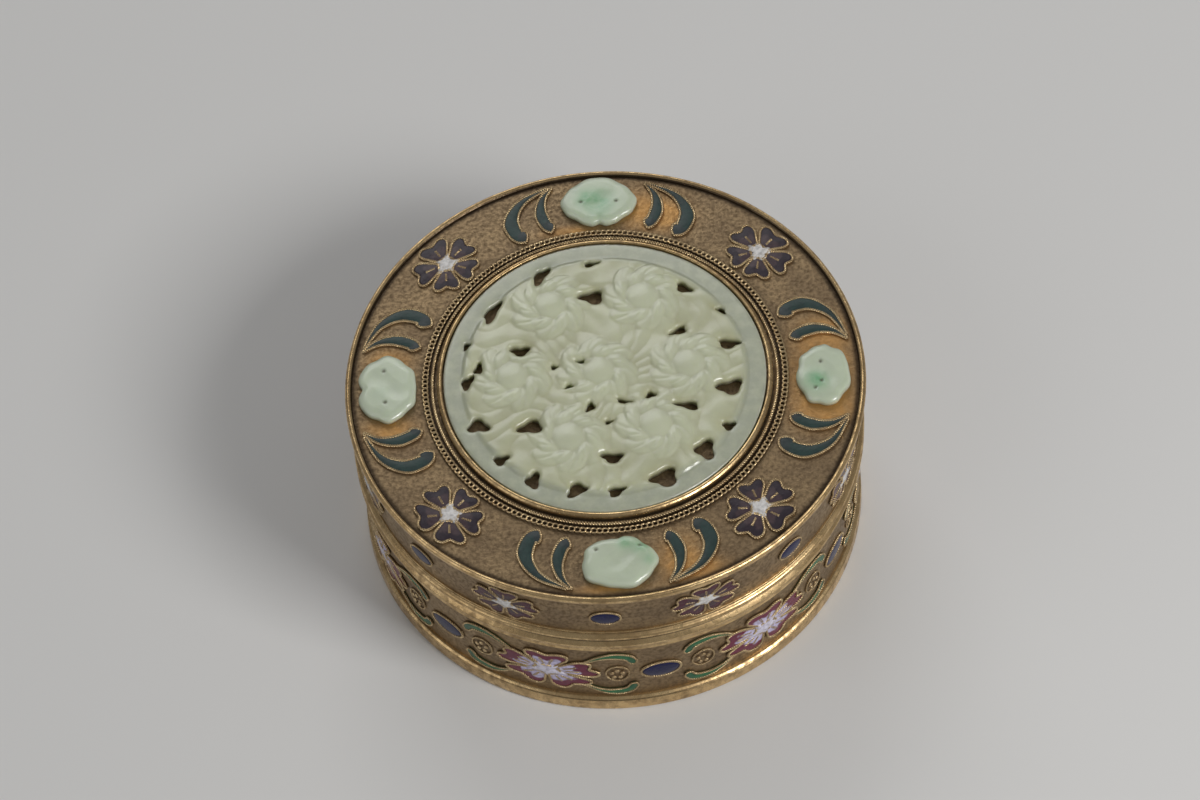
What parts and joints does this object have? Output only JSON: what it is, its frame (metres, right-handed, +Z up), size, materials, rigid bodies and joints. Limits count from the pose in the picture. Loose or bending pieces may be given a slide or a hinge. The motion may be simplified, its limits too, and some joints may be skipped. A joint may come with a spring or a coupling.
{
  "type": "round box",
  "caption": "Round metal box with a lift-off lid, a pierced carved plaque set in its top, small stones and enamelled flower bands.",
  "frame": {"origin": "middle of the base's underside, on the surface the box stands on", "axes": "+Z up along the box's own axis, -Y towards the front, where the camera of the picture stands"},
  "size_m": [0.085, 0.085, 0.037],
  "materials": {
    "aged_gilt": "satin, aged",
    "bright_gilt": "polished, worn",
    "pale_jade": "polished",
    "green_jade": "polished",
    "cobalt_enamel": "gloss",
    "plum_enamel": "gloss",
    "leaf_enamel": "gloss",
    "lilac_enamel": "gloss"
  },
  "bodies": {
    "base": {"base_foot_ring": "bright_gilt", "base_floor": "aged_gilt", "base_wall": "aged_gilt", "base_top_rim": "bright_gilt", "base_collar": "aged_gilt", "base_flower_1": "lilac_enamel", "base_flower_2": "lilac_enamel", "base_flower_3": "lilac_enamel", "base_flower_4": "lilac_enamel", "base_flower_5": "lilac_enamel", "base_flower_6": "lilac_enamel", "base_flower_7": "lilac_enamel", "base_oval_1": "cobalt_enamel", "base_oval_2": "cobalt_enamel", "base_oval_3": "cobalt_enamel", "base_oval_4": "cobalt_enamel", "base_oval_5": "cobalt_enamel", "base_oval_6": "cobalt_enamel", "base_oval_7": "cobalt_enamel"},
    "lid": {"lid_lower_rim": "bright_gilt", "lid_wall": "aged_gilt", "lid_top_plate": "aged_gilt", "lid_top_rim": "bright_gilt", "plaque_bezel": "bright_gilt", "bezel_rope_wire": "bright_gilt", "bezel_loop_wire": "bright_gilt", "jade_plaque": "pale_jade", "stone_north": "green_jade", "stone_east": "green_jade", "stone_south": "green_jade", "stone_west": "green_jade", "leaf_spray_north_left": "leaf_enamel", "leaf_spray_north_right": "leaf_enamel", "leaf_spray_east_left": "leaf_enamel", "leaf_spray_east_right": "leaf_enamel", "leaf_spray_south_left": "leaf_enamel", "leaf_spray_south_right": "leaf_enamel", "leaf_spray_west_left": "leaf_enamel", "leaf_spray_west_right": "leaf_enamel", "lid_flower_north_west": "plum_enamel", "lid_flower_north_east": "plum_enamel", "lid_flower_south_east": "plum_enamel", "lid_flower_south_west": "plum_enamel", "lid_band_flower_1": "plum_enamel", "lid_band_flower_2": "plum_enamel", "lid_band_flower_3": "plum_enamel", "lid_band_flower_4": "plum_enamel", "lid_band_flower_5": "plum_enamel", "lid_band_flower_6": "plum_enamel", "lid_band_flower_7": "plum_enamel", "lid_band_flower_8": "plum_enamel", "lid_band_oval_1": "cobalt_enamel", "lid_band_oval_2": "cobalt_enamel", "lid_band_oval_3": "cobalt_enamel", "lid_band_oval_4": "cobalt_enamel", "lid_band_oval_5": "cobalt_enamel", "lid_band_oval_6": "cobalt_enamel", "lid_band_oval_7": "cobalt_enamel", "lid_band_oval_8": "cobalt_enamel"}
  },
  "joints": [
    {"name": "lid_lift", "type": "slide", "parent": "base", "child": "lid", "axis": [0, 0, 1], "range_m": [0, 0.04]}
  ]
}
